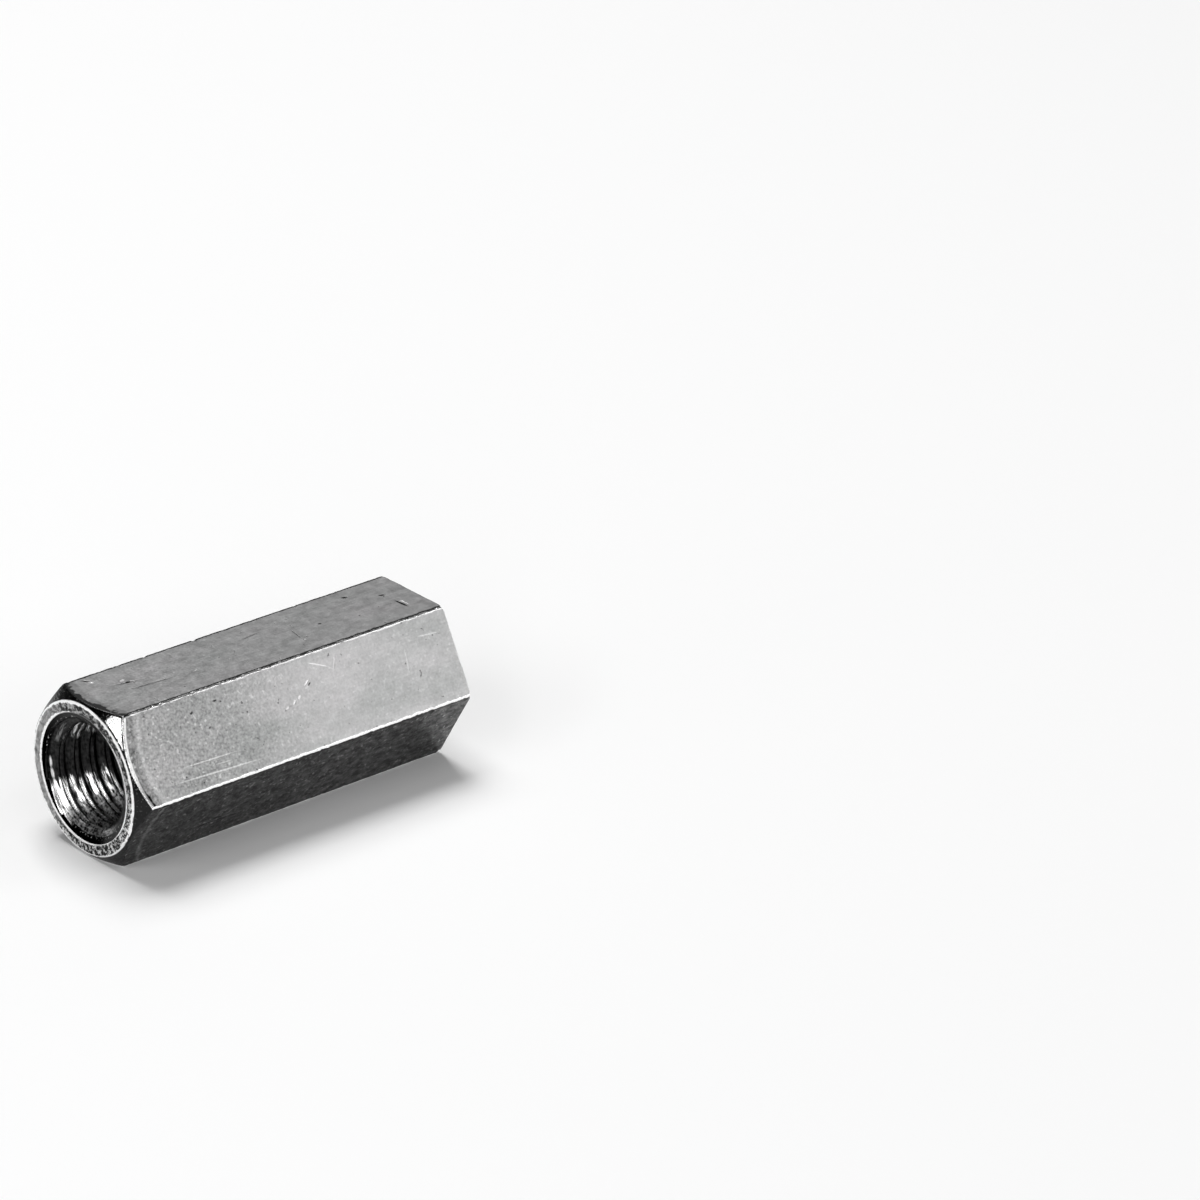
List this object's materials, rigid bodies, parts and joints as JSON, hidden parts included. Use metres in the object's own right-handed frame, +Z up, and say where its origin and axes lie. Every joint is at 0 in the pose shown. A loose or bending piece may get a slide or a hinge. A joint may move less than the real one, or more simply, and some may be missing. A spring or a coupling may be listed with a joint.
{
  "type": "coupling nut",
  "caption": "Long hexagonal nut, tapped right through, that joins threaded bars end to end, with a chamfered mouth end.",
  "frame": {"origin": "on the thread axis, half way along the nut", "axes": "+X along the thread axis, from the chamfered end to the plain end; +Z up, square to the flat it lies on; two long corners lie at +Y and -Y"},
  "size_m": [0.0332, 0.015, 0.013],
  "materials": {
    "plated_steel": "bright zinc plate over drawn bar, with fine lengthwise drawing marks, small pits and nicked edges"
  },
  "bodies": {
    "root": {"coupling_nut": "plated_steel"}
  },
  "joints": []
}
